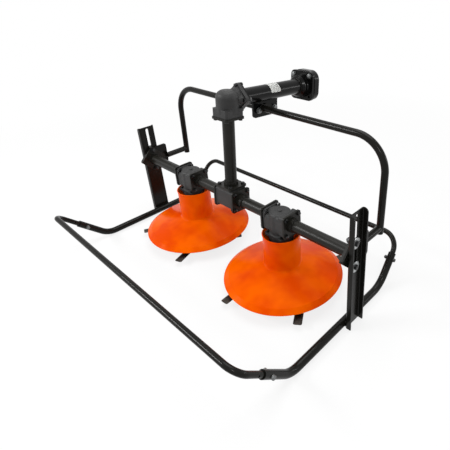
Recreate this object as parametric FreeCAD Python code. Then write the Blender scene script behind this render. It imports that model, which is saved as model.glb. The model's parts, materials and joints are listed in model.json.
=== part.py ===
"""Two-drum rotary mower for a two-wheel tractor.

Millimetres, +Z up.  X runs across the machine, the mower travels along -Y and
its hitch flange points back along +Y.  The origin is on the ground, under the
middle of the whole machine.
"""
import FreeCAD, Part
import math
import os

V = FreeCAD.Vector
X, Y, Z = V(1, 0, 0), V(0, 1, 0), V(0, 0, 1)
SIDES = (("left", -1), ("right", 1))

# ---------------------------------------------------------------- main sizes
DRUM_SPACING = 520.0        # between the two rotor axes
BEAM_HEIGHT = 276.5         # axis of the cross beam above the ground
HEAD_LEAN = 4.5             # degrees that the riser leans back about the beam
RISER_HEIGHT = 372.5        # beam axis to input axis, along the riser
INPUT_REACH = 433.0         # riser axis to the hitch face, along the input tube

BEAM_TUBE_D = 42.4
RISER_TUBE_D = 44.5
INPUT_TUBE_D = 59.5

# ------------------------------------------------------------ flanges between castings and tubes
FLANGE_SIDE = 85.0          # square flange on a tube
FLANGE_T = 7.0
FLANGE_CORNER = 9.0
CAST_FLANGE_SIDE = 79.0     # the casting's own flange behind it
CAST_FLANGE_T = 8.0
BEAM_COLLAR_R = 26.0
RISER_COLLAR_R = 27.0
COLLAR_L = 20.0
CENTRE_COLLAR_L = 30.0      # longer collar on the beam, each side of the centre box
END_FLANGE_SIDE = 88.0      # diamond flange at each end of the beam
END_FLANGE_T = 8.0

# ------------------------------------------------------------ drum gearbox casting
DRUM_BOX_HALF = 49.0        # rotor axis to the casting's flange faces
BARREL_R = 40.0
BARREL_TOP = 36.0           # above the beam axis
BARREL_ROUND = 10.0
ARCH_PORT = ((-38.0, -38.0, 9.0), (38.0, -38.0, 9.0),
             (38.0, 36.0, 34.0), (-38.0, 36.0, 34.0))     # (y, z from the beam axis, corner)
ARCH_FLANGE = (76.0, 14.0)  # side and corner of the arched port's flange
ARCH_FLANGE_T = 9.0
SQUARE_PORT_START = 8.0     # from the rotor axis
SQUARE_PORT = ((-39.0, -38.0, 9.0), (39.0, -38.0, 9.0),
               (39.0, 36.0, 16.0), (-39.0, 33.0, 12.0))
LUG_AT = 30.0               # bolt lugs of the square port, off the beam axis both ways
LUG_R = 10.0
LUG_L = 20.0
DRUM_ROOM = 7.5             # from the drum's wall in to the corners of the bearing flange
FOOT_T = 9.0
FOOT_TOP = 49.0             # below the beam axis
FOOT_FLARE = 2.5
SPINDLE_BOX_IN = 13.0       # those corners in to the spindle housing below
SPINDLE_BOX_DEPTH = 100.0   # below the beam axis, inside the drum
SPINDLE_R = 14.0
SPINDLE_ROOM = 2.0          # between the rotor's spindle and the casting's bore
SPINDLE_UP = 30.0           # spindle inside the bore
PLUG_R = 8.0
PLUG_H = 3.0

# ------------------------------------------------------------ centre gearbox casting
CENTRE_BOX_HALF = 47.5
CENTRE_BOX_TOP = 45.0       # beam axis to the riser's flange joint
CENTRE_BOX_LOW = 31.0       # beam axis down to the underside
CENTRE_BOX_WIDE = 78.0
CENTRE_PLATE = (80.0, 10.0) # side and corner of the plate under the riser
CENTRE_PLATE_T = 7.0
DRAIN_AT = (-18.0, -20.0)   # drain plug under the box

# ------------------------------------------------------------ elbow casting
ELBOW_FOOT = 58.0           # input axis down to the riser's flange joint
ELBOW_FOOT_H = 30.0
ELBOW_FOOT_SIDE = 79.0
ELBOW_FOOT_CORNER = 8.0
RISER_TOP_T = 8.0           # riser's own flange under the elbow
ELBOW_BARREL_R = 41.0
ELBOW_BARREL_TOP = 35.0
ELBOW_BARREL_ROUND = 27.0
ELBOW_PORT_R = 35.0
ELBOW_REACH = 56.0          # riser axis to the input tube's flange joint
ELBOW_DIAMOND = 80.0
ELBOW_FLARE = ((22.0, 60.0, 14.0), (42.0, 70.0, 12.0))   # (from the riser axis, side, corner)
INPUT_FLANGE_T = 6.0

# ------------------------------------------------------------ hitch end
HITCH_SIDE = 118.0
HITCH_CORNER = 20.0
HITCH_T = 12.0              # bolted front plate
HITCH_BACK_SIDE = 122.0     # heavy rounded part behind it
HITCH_BACK_T = 30.0
HITCH_BACK_CORNER = 38.0
HITCH_EDGE = 3.0            # chamfer round the hitch face
HITCH_BORE_R = 27.0
HITCH_BOLTS = 84.0          # spacing of the four bolt holes, both ways
HITCH_HOLE_R = 5.5
NECK_RINGS = ((44.0, 17.0), (48.0, 18.0))   # (radius, length) from the tube to the flange
NECK_CHAMFER = 8.0
COUPLING_R = 21.0
COUPLING_L = 30.0
COUPLING_BACK = 2.0         # coupling's face inside the hitch face
COUPLING_FLOOR = 6.0
COUPLING_BORE_R = 11.0
COUPLING_DOGS = 3
DOG_W = 9.0
DOG_DEPTH = 8.0

# ------------------------------------------------------------ rotors
DRUM_R = 67.5
DRUM_DROP = 52.5            # beam axis down to the drum's mouth
DRUM_BASE = 99.0            # where the drum's skirt begins
DRUM_LIP = 2.5              # rolled lip round the drum's mouth
NECK_FILLET = 9.0
RIM_R = 220.0
RIM_Z = 45.0
SHEET = 3.0
CREASE_IN = 22.0            # rim band, inside the edge
CREASE_RISE = 9.0           # rim band's height
HUB_R = 34.0
WEB_UP = 24.0               # drum's web above the skirt's beginning
WEB_T = 5.0
HUB_TOP = 30.0              # hub above the web
CARRIER_RIM = 20.0          # knife plate beyond the knife pins
CARRIER_Z = 30.0
CARRIER_T = 5.0
KNIFE_PIVOT_R = 165.0
KNIFE_REACH = 85.0          # pivot to tip
KNIFE_W = 30.0
KNIFE_T = 4.0
KNIFE_Z = 22.0
KNIFE_HOLE_R = 7.0
KNIFE_BEVEL = 6.0           # width of the ground edge along both sides
PIN_R = 6.0
PIN_HEAD_R = 13.0
PIN_HEAD_H = 4.0
BOWL_R = 122.0
BOWL_H = 20.0
BOWL_T = 4.0
BOWL_GAP = 2.0              # bearing gap between the dish's hub and the carrier

# ------------------------------------------------------------ guard
GUARD_TUBE_D = 26.9
SOCKET_ROOM = 0.4           # bore of a socket over its bar
GUARD_ROOM = 32.7           # knife tips to the inner side of the skid tubes
GUARD_WALL = 3.6
SKID_FRONT = -285.0
SKID_REAR = 192.0
FRONT_BAR = (-467.0, 193.0)
REAR_BAR = (309.0, 168.0)
SKID_BEND_R = 85.0
FRONT_BEND_R = 45.0
REAR_BEND_R = 60.0
FRONT_SOCKET = 0.57         # share of the rise at which the skid tube ends
REAR_SOCKET = 0.67
PLUG_IN = 40.0              # how far a bar reaches into its socket
SPARE_HOLE = 23.0           # spare adjusting hole, from the socket's mouth along the front bar
SPARE_HOLE_R = 3.5
POST_W = 71.0
POST_DEPTH = 20.0
POST_T = 4.0
GUARD_TRAVEL = 95.0         # length of slot above the upper bolt
POST_BEND = 6.0
POST_TIP_ROUND = 14.0
SLOT_W = 13.0
SLOT_MARGIN = 8.0           # slot's top end below the top of the post
BOLT_HALF = 44.0            # end-flange bolts above and below the beam axis
BOLT_D = 12.0

# ------------------------------------------------------------ hoops
HOOP_D = 24.5
HOOP_WALL = 2.6
HOOP_AT = 158.3             # riser axis to the hoop bars, along the input tube
HOOP_DROP = 54.1            # input axis down to the hoop bars
HOOP_FOOT_Y = 174.0
HOOP_BEND = 112.0
HOOP_FOOT_DROP = 22.5       # beam axis down to the leg's lower end
STUB_DROP = 1.5             # beam axis down to the stub
STUB_CLEAR = 4.0            # between the end flange and the stub
BRACKET_T = 6.0
BRACKET_TOP = 53.0          # above the beam axis
BRACKET_LOW = 59.5          # below it
BRACKET_REAR = ((57.0, -59.5, 8.0), (75.0, -31.5, 8.0), (75.0, 53.0, 10.0))   # (y, z, corner)
HOOP_PLATE_L = 126.0
HOOP_PLATE_T = 8.0
HOOP_PLATE_AT = 181.0       # its middle, from the riser axis
HOOP_PLATE_DROP = 89.0      # input axis to its lower edge
HOOP_PLATE_CORNER = 12.0
HOOP_BOLTS = 83.0
HOOP_FLANGE_DROP = 61.0     # input axis to the row of bolts
HOOP_FLANGE_T = 6.0
HOOP_FLANGE_HALF = 23.0

# ------------------------------------------------------------ derived places
GAP = 0.3
LEAN = math.radians(HEAD_LEAN)
DRUM_X = DRUM_SPACING / 2
DRUM_TOP = BEAM_HEIGHT - DRUM_DROP
FOOT_REACH = DRUM_R - SHEET - DRUM_ROOM
FOOT_SIDE = 2 * (FLANGE_CORNER + (FOOT_REACH - FLANGE_CORNER) / math.sqrt(2))
SPINDLE_BOX_R = FOOT_REACH - SPINDLE_BOX_IN
CARRIER_R = KNIFE_PIVOT_R + CARRIER_RIM
GUARD_X = DRUM_X + KNIFE_PIVOT_R + KNIFE_REACH + GUARD_ROOM + GUARD_TUBE_D / 2
GUARD_Z = GUARD_TUBE_D / 2
BAR_D = GUARD_TUBE_D - 2 * GUARD_WALL - SOCKET_ROOM
POST_X = GUARD_X + GUARD_TUBE_D / 2 - GAP
POST_H = BEAM_HEIGHT + BOLT_HALF + GUARD_TRAVEL + SLOT_W / 2 + SLOT_MARGIN
BEAM_HALF = POST_X - GAP - BRACKET_T
ELBOW_Z = BEAM_HEIGHT + RISER_HEIGHT
HOOP_X = BEAM_HALF - HOOP_D / 2 + GAP
HOOP_Y = HOOP_AT * math.cos(LEAN) + (RISER_HEIGHT - HOOP_DROP) * math.sin(LEAN)
HOOP_Z = BEAM_HEIGHT - HOOP_AT * math.sin(LEAN) + (RISER_HEIGHT - HOOP_DROP) * math.cos(LEAN)
HOOP_FOOT = (HOOP_FOOT_Y, BEAM_HEIGHT - HOOP_FOOT_DROP)
HITCH_START = INPUT_REACH - HITCH_BACK_T - HITCH_T
FRONT_EDGE = FRONT_BAR[0] - BAR_D / 2
REAR_EDGE = INPUT_REACH * math.cos(LEAN) + (RISER_HEIGHT + HITCH_BACK_SIDE / 2) * math.sin(LEAN)
SHIFT = V(0, -(FRONT_EDGE + REAR_EDGE) / 2, 0)


# ---------------------------------------------------------------- helpers
def fuse(shapes):
    """One solid from several that touch or overlap."""
    return shapes[0].multiFuse(shapes[1:]).removeSplitter()


def cyl(radius, length, base, axis):
    return Part.makeCylinder(radius, length, base, axis)


def outline(corners, place):
    """Closed wire from (u, v, corner radius) points; place maps (u, v) to space."""
    count = len(corners)
    starts, ends, arcs = [], [], []
    for i, (u, v, radius) in enumerate(corners):
        here = V(u, v, 0)
        before = V(*corners[i - 1][:2], 0) - here
        after = V(*corners[(i + 1) % count][:2], 0) - here
        before.normalize()
        after.normalize()
        if radius <= 0:
            starts.append(here)
            ends.append(here)
            arcs.append(None)
            continue
        half = before.getAngle(after) / 2
        middle = before + after
        middle.normalize()
        starts.append(here + before * (radius / math.tan(half)))
        ends.append(here + after * (radius / math.tan(half)))
        arcs.append(here + middle * (radius / math.sin(half) - radius))
    edges = []
    for i in range(count):
        if arcs[i]:
            trio = [place(p.x, p.y) for p in (starts[i], arcs[i], ends[i])]
            edges.append(Part.Arc(*trio).toShape())
        a, b = place(ends[i].x, ends[i].y), place(starts[(i + 1) % count].x, starts[(i + 1) % count].y)
        if (b - a).Length > 1e-6:
            edges.append(Part.LineSegment(a, b).toShape())
    return Part.Wire(Part.__sortEdges__(edges))


def plate(corners, place, thickness):
    """A flat plate: the outline extruded by the thickness vector."""
    return Part.Face(outline(corners, place)).extrude(thickness)


def turned(corners, centre):
    """A solid of revolution about +Z through centre, from (radius, height, fillet) points."""
    face = Part.Face(outline(corners, lambda r, h: centre + V(r, 0, h)))
    return face.revolve(centre, Z, 360)


def square(side, corner):
    h = side / 2
    return [(-h, -h, corner), (h, -h, corner), (h, h, corner), (-h, h, corner)]


def diamond(side, corner):
    h = side / math.sqrt(2)
    return [(-h, 0, corner), (0, -h, corner), (h, 0, corner), (0, h, corner)]


def pipe(points, diameter, bends, wall=None):
    """A round bar, or an open-ended tube if it has a wall, along straight runs.

    Each corner between two runs is a tangent arc of its own radius, from bends."""

    def section(centre, axis):
        disc = Part.Face(Part.Wire(Part.Circle(centre, axis, diameter / 2).toShape()))
        if wall is None:
            return disc
        return disc.cut(Part.Face(Part.Wire(Part.Circle(centre, axis, diameter / 2 - wall).toShape())))

    solids = []
    start = points[0]
    for before, here, after, bend in zip(points, points[1:], points[2:], bends):
        along = (here - before).normalize()
        onward = (after - here).normalize()
        turn = along.getAngle(onward)
        setback = bend * math.tan(turn / 2)
        a = here - along * setback
        solids.append(section(start, along).extrude(a - start))
        axis = along.cross(onward)
        inward = axis.cross(along).normalize()
        solids.append(section(a, along).revolve(a + inward * bend, axis, math.degrees(turn)))
        start = here + onward * setback
    last = points[-1] - start
    solids.append(section(start, last.normalize()).extrude(points[-1] - start))
    return fuse(solids)


def across(x):
    """Places (u, v) in the plane across the beam at x: u along Y, v along Z."""
    return lambda u, v: V(x, u, BEAM_HEIGHT + v)


def lean(shape):
    """Tilt a piece of the head back about the beam axis."""
    shape = shape.copy()
    shape.rotate(V(0, 0, BEAM_HEIGHT), X, -HEAD_LEAN)
    return shape


def mirror(shape, sign):
    """The right-hand piece as it is, or its mirror image on the left."""
    return shape if sign > 0 else shape.mirror(V(0, 0, 0), X)


def obround(u, low, high, width):
    """Corners of a slot along v."""
    h = width / 2
    top, bottom = high + h, low - h
    r = h * 0.999
    return [(u - h, bottom, r), (u + h, bottom, r), (u + h, top, r), (u - h, top, r)]


# ---------------------------------------------------------------- gearboxes
def drum_gearbox(sign):
    """Right-angle casting over one drum: barrel, arched port, square port with lugs, bearing flange.

    Both sides use the same casting, so the left one isn't a mirror image."""
    x = sign * DRUM_X
    axis = V(x, 0, BEAM_HEIGHT)
    face = DRUM_BOX_HALF
    foot_low = FOOT_TOP + FOOT_T
    barrel = turned([
        (0, -SPINDLE_BOX_DEPTH, 0), (SPINDLE_BOX_R, -SPINDLE_BOX_DEPTH, 4), (SPINDLE_BOX_R, -foot_low, 0),
        (BARREL_R + FOOT_FLARE, -foot_low, 0), (BARREL_R + FOOT_FLARE, -FOOT_TOP, 0),
        (BARREL_R, -FOOT_TOP + 2 * FOOT_FLARE, 4), (BARREL_R, BARREL_TOP, BARREL_ROUND), (0, BARREL_TOP, 0),
    ], axis)
    pieces = [
        barrel,
        plate(square(FOOT_SIDE, FLANGE_CORNER), lambda u, v: axis + V(u, v, -foot_low), Z * FOOT_T),
        plate(ARCH_PORT, across(x - face), X * face),
        plate(square(*ARCH_FLANGE), across(x - face), X * ARCH_FLANGE_T),
        plate(SQUARE_PORT, across(x + SQUARE_PORT_START), X * (face - SQUARE_PORT_START)),
        plate(square(CAST_FLANGE_SIDE, FLANGE_CORNER), across(x + face - CAST_FLANGE_T), X * CAST_FLANGE_T),
        cyl(PLUG_R, PLUG_H + 1, axis + Z * (BARREL_TOP - 1), Z),
    ]
    for dy in (-LUG_AT, LUG_AT):
        for dz in (-LUG_AT, LUG_AT):
            pieces.append(cyl(LUG_R, LUG_L, V(x + face - LUG_L, dy, BEAM_HEIGHT + dz), X))
    bore = cyl(SPINDLE_R + SPINDLE_ROOM, SPINDLE_BOX_DEPTH / 2, axis - Z * SPINDLE_BOX_DEPTH, Z)
    return fuse(pieces).cut(bore)


def centre_gearbox():
    """Casting in the middle of the beam: flat-fronted box, a flange each side and one on top."""
    face, top, low = CENTRE_BOX_HALF, CENTRE_BOX_TOP, CENTRE_BOX_LOW
    half = CENTRE_BOX_WIDE / 2
    top_start = top - CENTRE_PLATE_T
    body = plate([(-half, -low, 6), (half, -low, 6), (half, top_start, 8), (-half, top_start, 8)],
                 across(-face), X * (2 * face))
    pieces = [
        body,
        plate(square(*CENTRE_PLATE), lambda u, v: V(u, v, BEAM_HEIGHT + top_start), Z * CENTRE_PLATE_T),
        cyl(PLUG_R, PLUG_H + 1, V(*DRAIN_AT, BEAM_HEIGHT - low - PLUG_H), Z),
    ]
    for start in (-face, face - CAST_FLANGE_T):
        pieces.append(plate(square(CAST_FLANGE_SIDE, FLANGE_CORNER), across(start), X * CAST_FLANGE_T))
    return lean(fuse(pieces))


def elbow_gearbox():
    """Right-angle casting at the top: square foot, domed barrel, flare to a diamond flange."""
    centre = V(0, 0, ELBOW_Z)
    flare = [outline(diamond(side, corner), lambda u, v, y=y: centre + V(u, y, v))
             for y, side, corner in ELBOW_FLARE]
    plate_start = ELBOW_FLARE[-1][0]
    pieces = [
        turned([(0, -ELBOW_FOOT, 0), (ELBOW_BARREL_R - 6, -ELBOW_FOOT, 0),
                (ELBOW_BARREL_R - 6, -ELBOW_FOOT + ELBOW_FOOT_H / 2, 0),
                (ELBOW_BARREL_R, -ELBOW_FOOT + ELBOW_FOOT_H / 2, 0),
                (ELBOW_BARREL_R, ELBOW_BARREL_TOP, ELBOW_BARREL_ROUND), (0, ELBOW_BARREL_TOP, 0)], centre),
        plate(square(ELBOW_FOOT_SIDE, ELBOW_FOOT_CORNER), lambda u, v: centre + V(u, v, -ELBOW_FOOT),
              Z * ELBOW_FOOT_H),
        cyl(ELBOW_PORT_R, ELBOW_REACH, centre, Y),
        Part.makeLoft(flare, True),
        plate(diamond(ELBOW_DIAMOND, FLANGE_CORNER), lambda u, v: centre + V(u, plate_start, v),
              Y * (ELBOW_REACH - plate_start)),
    ]
    return lean(fuse(pieces))


# ---------------------------------------------------------------- tubes of the frame
def outer_tube():
    """Beam tube from the drum gearbox out to the diamond end flange."""
    start = DRUM_X + DRUM_BOX_HALF
    end = BEAM_HALF - END_FLANGE_T
    return fuse([
        plate(square(FLANGE_SIDE, FLANGE_CORNER), across(start), X * FLANGE_T),
        cyl(BEAM_COLLAR_R, COLLAR_L, V(start, 0, BEAM_HEIGHT), X),
        cyl(BEAM_TUBE_D / 2, end - start, V(start, 0, BEAM_HEIGHT), X),
        plate(diamond(END_FLANGE_SIDE, FLANGE_CORNER), across(end), X * END_FLANGE_T),
    ])


def inner_tube():
    """Beam tube from the centre gearbox to the drum gearbox."""
    start = CENTRE_BOX_HALF
    end = DRUM_X - DRUM_BOX_HALF
    return fuse([
        lean(plate(square(FLANGE_SIDE, FLANGE_CORNER), across(start), X * FLANGE_T)),
        cyl(BEAM_COLLAR_R, CENTRE_COLLAR_L, V(start, 0, BEAM_HEIGHT), X),
        cyl(BEAM_TUBE_D / 2, end - start, V(start, 0, BEAM_HEIGHT), X),
        cyl(BEAM_COLLAR_R, COLLAR_L, V(end - COLLAR_L, 0, BEAM_HEIGHT), X),
        plate(square(FLANGE_SIDE, FLANGE_CORNER), across(end - FLANGE_T), X * FLANGE_T),
    ])


def riser_tube():
    """Tube from the centre gearbox up to the elbow, with a flange and collar at each end."""
    low = BEAM_HEIGHT + CENTRE_BOX_TOP
    high = ELBOW_Z - ELBOW_FOOT
    pieces = [
        cyl(RISER_TUBE_D / 2, high - low, V(0, 0, low), Z),
        cyl(RISER_COLLAR_R, COLLAR_L, V(0, 0, low), Z),
    ]
    for z, thick in ((low, FLANGE_T), (high - RISER_TOP_T, RISER_TOP_T)):
        pieces.append(plate(square(FLANGE_SIDE, FLANGE_CORNER), lambda u, v, z=z: V(u, v, z), Z * thick))
    return lean(fuse(pieces))


def input_tube():
    """Tube from the elbow back to the hitch neck."""
    start = ELBOW_REACH
    end = HITCH_START - sum(length for _, length in NECK_RINGS)
    return lean(fuse([
        plate(diamond(ELBOW_DIAMOND, FLANGE_CORNER), lambda u, v: V(u, start, ELBOW_Z + v),
              Y * INPUT_FLANGE_T),
        cyl(INPUT_TUBE_D / 2, end - start, V(0, start, ELBOW_Z), Y),
    ]))


def hitch_flange():
    """Stepped neck, square front plate and heavy rounded back that bolt to the tractor."""
    middle = HITCH_START + HITCH_T
    back = plate(square(HITCH_BACK_SIDE, HITCH_BACK_CORNER), lambda u, v: V(u, middle, ELBOW_Z + v),
                 Y * HITCH_BACK_T)
    rim = [edge for edge in back.Edges if edge.BoundBox.YMin > INPUT_REACH - 0.1]
    pieces = [
        plate(square(HITCH_SIDE, HITCH_CORNER), lambda u, v: V(u, HITCH_START, ELBOW_Z + v), Y * HITCH_T),
        back.makeChamfer(HITCH_EDGE, rim),
    ]
    start = HITCH_START
    for radius, length in reversed(NECK_RINGS):
        start -= length
        pieces.append(cyl(radius, length, V(0, start, ELBOW_Z), Y))
    radius = NECK_RINGS[0][0]
    body = fuse(pieces)
    lip = [edge for edge in body.Edges
           if abs(edge.BoundBox.YMin - start) < 0.01 and abs(edge.BoundBox.YMax - start) < 0.01
           and edge.BoundBox.XMax > radius - 0.1]
    body = body.makeChamfer(NECK_CHAMFER, lip)
    depth = INPUT_REACH - HITCH_START + NECK_RINGS[1][1]
    body = body.cut(cyl(HITCH_BORE_R, depth, V(0, INPUT_REACH - depth, ELBOW_Z), Y))
    for u in (-HITCH_BOLTS / 2, HITCH_BOLTS / 2):
        for v in (-HITCH_BOLTS / 2, HITCH_BOLTS / 2):
            hole = cyl(HITCH_HOLE_R, INPUT_REACH - HITCH_START, V(u, HITCH_START, ELBOW_Z + v), Y)
            body = body.cut(hole)
    return lean(body)


def input_coupling():
    """Dog coupling inside the hitch flange, with a pilot bore, that the tractor's shaft drives."""
    end = INPUT_REACH - COUPLING_BACK
    start = end - COUPLING_L
    body = cyl(COUPLING_R, COUPLING_L, V(0, start, ELBOW_Z), Y)
    body = body.cut(cyl(COUPLING_BORE_R, COUPLING_L, V(0, start + COUPLING_FLOOR, ELBOW_Z), Y))
    for k in range(COUPLING_DOGS):
        slot = Part.makeBox(DOG_W, DOG_DEPTH, COUPLING_R + 1, V(-DOG_W / 2, end - DOG_DEPTH, ELBOW_Z))
        slot.rotate(V(0, 0, ELBOW_Z), Y, 360.0 * k / COUPLING_DOGS)
        body = body.cut(slot)
    return lean(body)


# ---------------------------------------------------------------- hoops
def hoop_plate():
    """Plate under the input tube that both hoops bolt to."""
    half = HOOP_PLATE_L / 2
    low = ELBOW_Z - HOOP_PLATE_DROP
    y = HOOP_PLATE_AT
    corners = [(y - half, low, HOOP_PLATE_CORNER), (y + half, low, HOOP_PLATE_CORNER),
               (y + half, ELBOW_Z, 0), (y - half, ELBOW_Z, 0)]
    body = plate(corners, lambda u, v: V(-HOOP_PLATE_T / 2, u, v), X * HOOP_PLATE_T)
    return lean(body.cut(cyl(INPUT_TUBE_D / 2, INPUT_REACH, V(0, 0, ELBOW_Z), Y)))


def hoop():
    """Right-hand hoop: oval flange, bar out to the side, bend, leg down."""
    y, z = HOOP_PLATE_AT, ELBOW_Z - HOOP_FLANGE_DROP
    inner = HOOP_PLATE_T / 2
    tip = HOOP_BOLTS / 2 + 16
    oval = [(y - tip, z, 12), (y, z - HOOP_FLANGE_HALF, 20), (y + tip, z, 12), (y, z + HOOP_FLANGE_HALF, 20)]
    flange = lean(plate(oval, lambda u, v: V(inner, u, v), X * HOOP_FLANGE_T))
    path = [V(inner + HOOP_FLANGE_T / 2, HOOP_Y, HOOP_Z), V(HOOP_X, HOOP_Y, HOOP_Z), V(HOOP_X, *HOOP_FOOT)]
    return fuse([flange, pipe(path, HOOP_D, [HOOP_BEND], HOOP_WALL)])


def hoop_bracket():
    """Plate clamped at the end of the beam, with the stub tube that carries the hoop's leg."""
    tip = END_FLANGE_SIDE / math.sqrt(2)
    corners = [(-tip, 0, FLANGE_CORNER), (BRACKET_LOW - tip, -BRACKET_LOW, 6), *BRACKET_REAR,
               (BRACKET_TOP - tip, BRACKET_TOP, 6)]
    body = plate(corners, across(BEAM_HALF), X * BRACKET_T)
    for sign in (-1, 1):
        body = body.cut(cyl(BOLT_D / 2 + 0.5, BRACKET_T, V(BEAM_HALF, 0, BEAM_HEIGHT + sign * BOLT_HALF), X))
    front = tip - max(0, STUB_DROP - HOOP_D / 2) + STUB_CLEAR
    stub = cyl(HOOP_D / 2, HOOP_FOOT[0] - front, V(HOOP_X, front, BEAM_HEIGHT - STUB_DROP), Y)
    leg = V(0, HOOP_Y - HOOP_FOOT[0], HOOP_Z - HOOP_FOOT[1]).normalize()
    saddle = cyl(HOOP_D / 2, 4 * HOOP_D, V(HOOP_X, *HOOP_FOOT) - leg * 2 * HOOP_D, leg)
    return fuse([body, stub.cut(saddle)])


# ---------------------------------------------------------------- rotors
def drum():
    """Open-topped drum and flared skirt in one pressing, about the right rotor axis."""
    s = SHEET
    crease = RIM_R - CREASE_IN
    crease_z = RIM_Z + CREASE_RISE
    corners = [
        (DRUM_R, DRUM_TOP - DRUM_LIP, 0), (DRUM_R, DRUM_BASE, NECK_FILLET), (crease, crease_z, 30),
        (RIM_R, RIM_Z, 0), (RIM_R, RIM_Z - s, 0), (crease, crease_z - s, 30 - s),
        (DRUM_R - s, DRUM_BASE - s, NECK_FILLET + s), (DRUM_R - s, DRUM_TOP, 0),
        (DRUM_R + 1, DRUM_TOP, 0), (DRUM_R + 1, DRUM_TOP - DRUM_LIP, 0),
    ]
    return turned(corners, V(DRUM_X, 0, 0))


def knife_angles(sign):
    """(pivot angle, swing at rest) of each knife, in degrees."""
    if sign > 0:
        return ((-116, 30), (-26, -30), (64, 10), (154, -12))
    return ((-140, 21), (-50, -21), (40, -75), (130, 14))


def carrier(sign):
    """Hub, web and knife plate inside the drum, with the four knife pins."""
    centre = V(sign * DRUM_X, 0, 0)
    top = CARRIER_Z + CARRIER_T
    web = DRUM_BASE + WEB_UP
    hub_top = web + HUB_TOP
    spindle_top = BEAM_HEIGHT - SPINDLE_BOX_DEPTH + SPINDLE_UP
    body = turned([
        (0, CARRIER_Z, 0), (CARRIER_R, CARRIER_Z, 0), (CARRIER_R, top, 0), (HUB_R, top, 6),
        (HUB_R, web, 0), (DRUM_R - SHEET, web, 0), (DRUM_R - SHEET, web + WEB_T, 0), (HUB_R, web + WEB_T, 0),
        (HUB_R, hub_top, 4), (SPINDLE_R, hub_top, 0), (SPINDLE_R, spindle_top, 0), (0, spindle_top, 0),
    ], centre)
    pieces = [body]
    head = KNIFE_Z - 2
    for pivot, _ in knife_angles(sign):
        angle = math.radians(pivot)
        spot = centre + V(math.cos(angle), math.sin(angle), 0) * KNIFE_PIVOT_R
        pieces.append(cyl(PIN_R, CARRIER_Z - head + 1, spot + Z * (head - 1), Z))
        pieces.append(cyl(PIN_HEAD_R, PIN_HEAD_H, spot + Z * (head - PIN_HEAD_H), Z))
    return fuse(pieces)


def knife(sign, pivot, swing):
    """One swinging knife with two ground edges, on its pin, in its rest direction."""
    w = KNIFE_W / 2
    r = KNIFE_REACH
    body = plate([(-w, -w, w * 0.98), (r, -w, 6), (r, w, 6), (-w, w, w * 0.98)],
                 lambda u, v: V(u, v, KNIFE_Z), Z * KNIFE_T)
    body = body.cut(cyl(KNIFE_HOLE_R, KNIFE_T, V(0, 0, KNIFE_Z), Z))
    top = KNIFE_Z + KNIFE_T
    for side in (-1, 1):
        wedge = [V(w, side * (w - KNIFE_BEVEL), top), V(w, side * (w + 1), top),
                 V(w, side * (w + 1), KNIFE_Z + 1), V(w, side * w, KNIFE_Z + 1)]
        face = Part.Face(Part.makePolygon(wedge + wedge[:1]))
        body = body.cut(face.extrude(X * r))
    angle = math.radians(pivot)
    body.rotate(V(0, 0, 0), Z, pivot + swing)
    body.translate(V(sign * DRUM_X, 0, 0) + V(math.cos(angle), math.sin(angle), 0) * KNIFE_PIVOT_R)
    return body


def bowl():
    """Support dish under the right rotor, running on the ground."""
    corners = [
        (0, 0, 0), (BOWL_R * 0.66, 0, 60), (BOWL_R, BOWL_H * 0.7, 0), (BOWL_R, BOWL_H, 0),
        (BOWL_R - BOWL_T, BOWL_H, 0), (BOWL_R - 2.5 * BOWL_T, BOWL_H - BOWL_T, 0),
        (HUB_R, BOWL_H - BOWL_T, 0),
        (HUB_R, CARRIER_Z - BOWL_GAP, 0), (0, CARRIER_Z - BOWL_GAP, 0),
    ]
    return turned(corners, V(DRUM_X, 0, 0))


# ---------------------------------------------------------------- guard
def guard_points():
    """Corners of the right half of the guard, front bar to rear bar."""
    return (V(GUARD_X, *FRONT_BAR), V(GUARD_X, SKID_FRONT, GUARD_Z),
            V(GUARD_X, SKID_REAR, GUARD_Z), V(GUARD_X, *REAR_BAR))


def side_tube():
    """Right skid tube: flat on the ground, turned up to a socket at each end."""
    front, low_front, low_rear, rear = guard_points()
    first = low_front + (front - low_front) * FRONT_SOCKET
    last = low_rear + (rear - low_rear) * REAR_SOCKET
    body = pipe([first, low_front, low_rear, last], GUARD_TUBE_D, [SKID_BEND_R] * 2, GUARD_WALL)
    web = Part.makeBox(POST_T, POST_W, POST_H, V(POST_X, -POST_W / 2, 0))
    return body.cut(web)


def cross_bar(corner, low, share, bend):
    """Bar across the machine, with both ends bent down into the skid tubes' sockets."""
    down = low - corner
    mouth = corner + down * (1 - share)
    tip = mouth + down.normalize() * (PLUG_IN - 1)
    flip = lambda p: V(-p.x, p.y, p.z)
    return pipe([flip(tip), flip(corner), corner, tip], BAR_D, [bend] * 2)


def front_bar():
    """Front bar, with a spare adjusting hole outside each socket."""
    front, low_front, _, _ = guard_points()
    body = cross_bar(front, low_front, FRONT_SOCKET, FRONT_BEND_R)
    rise = front - low_front
    spot = low_front + rise * FRONT_SOCKET + rise.normalize() * SPARE_HOLE
    for sign in (-1, 1):
        start = V(sign * spot.x, spot.y, spot.z) - X * BAR_D
        body = body.cut(cyl(SPARE_HOLE_R, 2 * BAR_D, start, X))
    return body


def rear_bar():
    _, _, low_rear, rear = guard_points()
    return cross_bar(rear, low_rear, REAR_SOCKET, REAR_BEND_R)


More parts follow.
